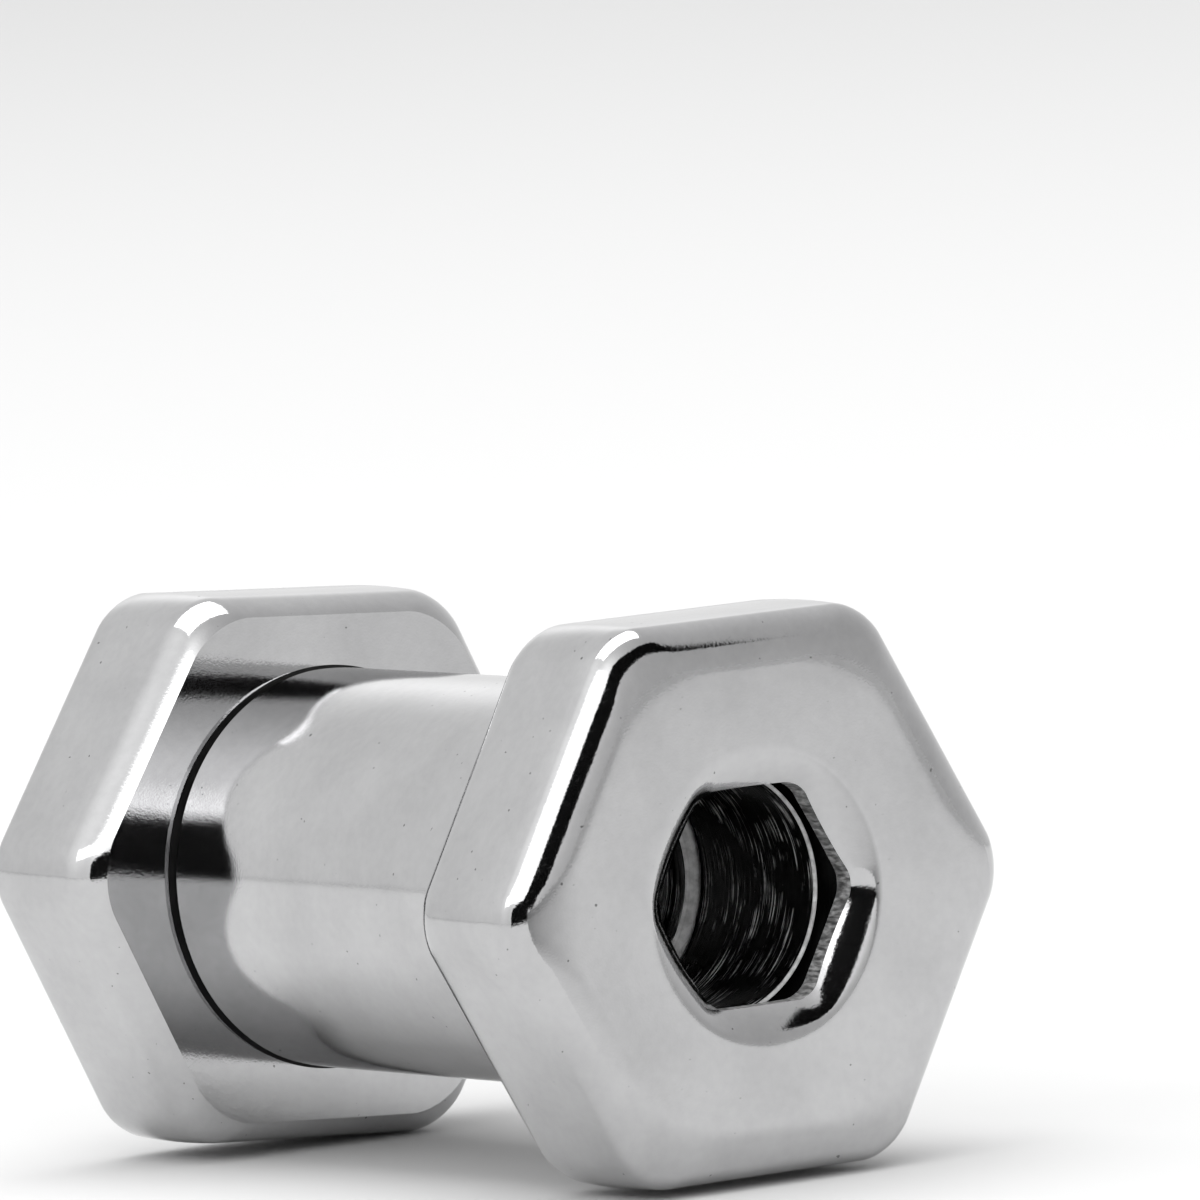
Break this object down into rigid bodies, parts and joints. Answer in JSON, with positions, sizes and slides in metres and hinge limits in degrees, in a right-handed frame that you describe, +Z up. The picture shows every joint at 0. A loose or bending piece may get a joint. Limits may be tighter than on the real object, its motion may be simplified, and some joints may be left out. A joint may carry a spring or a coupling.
{
  "type": "ear tunnel",
  "caption": "Hollow screw-together ear tunnel of polished steel: a round barrel with a hexagonal flange at each end and a hexagonal see-through opening.",
  "frame": {"origin": "middle of the length, on the surface that the flanges' lower flats rest on", "axes": "+Y along the tunnel from the front flange to the screw back, +Z up, +X to the right seen from the front"},
  "size_m": [0.0122, 0.0176, 0.0113],
  "materials": {
    "polished_steel": "mirror-polished stainless steel with fine hairlines"
  },
  "bodies": {
    "flanged_barrel": {"flanged_barrel": "polished_steel"},
    "screw_back": {"screw_back": "polished_steel"}
  },
  "joints": [
    {"name": "back_unscrews", "type": "slide", "parent": "flanged_barrel", "child": "screw_back", "axis": [0, 1, 0], "range_m": [0, 0.01]}
  ]
}
